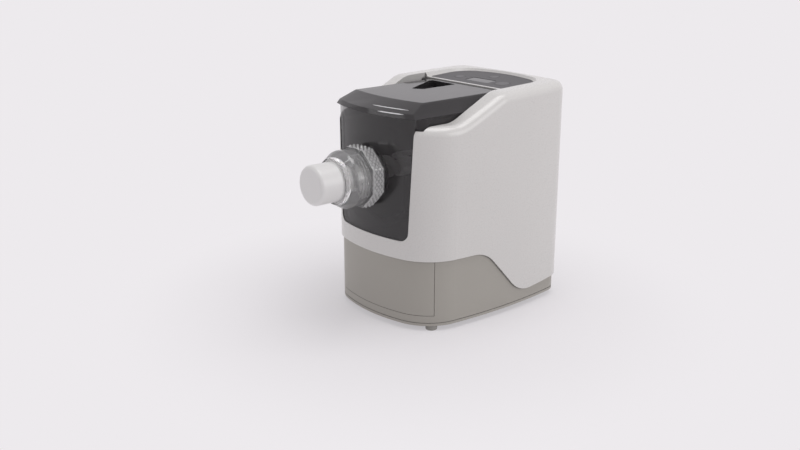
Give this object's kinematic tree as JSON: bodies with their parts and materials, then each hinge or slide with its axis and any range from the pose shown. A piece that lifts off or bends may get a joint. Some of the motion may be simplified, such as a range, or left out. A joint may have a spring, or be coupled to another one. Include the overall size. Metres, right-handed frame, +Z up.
{
  "type": "electric pasta maker",
  "caption": "Counter-top kneading and extruding machine with tinted bowl and hinged lid, screw-on extrusion die, gear motor drive, top control panel and storage drawer.",
  "frame": {"origin": "on the worktop under the middle of the machine, nozzle included", "axes": "+Z up, the nozzle points to -Y, the control panel is at +Y, +X is to the right seen from the front"},
  "size_m": [0.216, 0.3536, 0.2965],
  "materials": {
    "shell_white": "pearl gloss moulded",
    "housing_grey": "satin warm grey",
    "smoke_tint": "smoke tinted polycarbonate",
    "clear_plastic": "clear moulded",
    "die_white": "white food grade moulding",
    "panel_grey": "satin dark grey",
    "button_grey": "satin dark grey",
    "lens_dark": "dark gloss window",
    "foot_rubber": "matt",
    "seal_rubber": "soft",
    "drawer_plastic": "satin",
    "frame_plastic": "moulded",
    "mixer_plastic": "satin food grade",
    "gear_nylon": "natural nylon",
    "shaft_steel": "turned",
    "motor_steel": "zinc coated",
    "core_steel": "laminated",
    "bearing_bronze": "sintered",
    "screw_steel": "zinc plated",
    "bracket_steel": "pressed",
    "board_green": "glass epoxy board"
  },
  "bodies": {
    "root": {"body_shell": "shell_white", "base_shell": "housing_grey", "bottom_plate": "frame_plastic", "rubber_feet": "foot_rubber", "housing_screws": "screw_steel", "drawer_frame": "frame_plastic", "drawer_runners": "drawer_plastic", "chamber_cradle": "frame_plastic", "mixing_chamber": "smoke_tint", "front_panel": "smoke_tint", "lid_hinge_pins": "shaft_steel", "extrusion_barrel": "clear_plastic", "shaft_seal": "seal_rubber", "idler_pin": "shaft_steel", "motor_stator": "core_steel", "motor_can": "motor_steel", "motor_cap": "frame_plastic", "motor_bearings": "bearing_bronze", "shaft_bearings": "bearing_bronze", "gearbox_case": "frame_plastic", "gearbox_cover": "frame_plastic", "gearbox_screws": "screw_steel", "drive_bracket": "bracket_steel", "control_panel": "panel_grey", "display_lens": "lens_dark", "button_pads": "seal_rubber", "control_board": "board_green", "board_screws": "screw_steel", "power_board": "board_green", "lid_switch": "frame_plastic", "cord_gland": "seal_rubber"},
    "lid": {"lid": "smoke_tint"},
    "drawer": {"drawer_front": "housing_grey", "drawer_box": "drawer_plastic"},
    "mixer": {"mixing_shaft": "mixer_plastic", "auger_screw": "mixer_plastic", "mixing_paddle": "mixer_plastic", "drive_shaft": "shaft_steel", "output_gear": "gear_nylon"},
    "idler": {"idler_gear": "gear_nylon"},
    "rotor": {"motor_pinion": "shaft_steel", "motor_shaft": "shaft_steel", "motor_rotor": "core_steel", "motor_fan": "gear_nylon"},
    "die": {"extrusion_die": "die_white", "die_gasket": "seal_rubber"},
    "nut": {"ring_nut": "clear_plastic"},
    "start_key": {"start_button": "button_grey"},
    "mode_key": {"mode_button": "button_grey"},
    "time_key": {"time_button": "button_grey"}
  },
  "joints": [
    {"name": "lid_hinge", "type": "hinge", "parent": "root", "child": "lid", "pos_m": [0, 0.0764, 0.2845], "axis": [-1, 0, 0], "range_deg": [0, 75]},
    {"name": "drawer_slide", "type": "slide", "parent": "root", "child": "drawer", "axis": [0, -1, 0], "range_m": [0, 0.09]},
    {"name": "mixer_turn", "type": "hinge", "parent": "root", "child": "mixer", "pos_m": [0, 0, 0.193], "axis": [0, -1, 0], "continuous": true},
    {"name": "idler_turn", "type": "hinge", "parent": "root", "child": "idler", "pos_m": [0, 0, 0.123], "axis": [0, -1, 0], "continuous": true},
    {"name": "rotor_turn", "type": "hinge", "parent": "root", "child": "rotor", "pos_m": [0, 0, 0.088], "axis": [0, -1, 0], "continuous": true},
    {"name": "die_travel", "type": "slide", "parent": "root", "child": "die", "axis": [0, -1, 0], "range_m": [0, 0.0125]},
    {"name": "nut_turn", "type": "hinge", "parent": "die", "child": "nut", "pos_m": [0, -0.1142, 0.193], "axis": [0, -1, 0], "range_deg": [0, 900.5]},
    {"name": "start_press", "type": "slide", "parent": "root", "child": "start_key", "axis": [0, 0.0549, -0.9985], "range_m": [0, 0.0008], "stiffness_N_per_m": 600},
    {"name": "mode_press", "type": "slide", "parent": "root", "child": "mode_key", "axis": [0, 0.0549, -0.9985], "range_m": [0, 0.0008], "stiffness_N_per_m": 600},
    {"name": "time_press", "type": "slide", "parent": "root", "child": "time_key", "axis": [0, 0.0549, -0.9985], "range_m": [0, 0.0008], "stiffness_N_per_m": 600}
  ],
  "couplings": [
    {"joint": "idler_turn", "follows": "mixer_turn", "ratio": -4},
    {"joint": "rotor_turn", "follows": "mixer_turn", "ratio": 12},
    {"joint": "nut_turn", "follows": "die_travel", "rad_per_m": 1256.6}
  ]
}
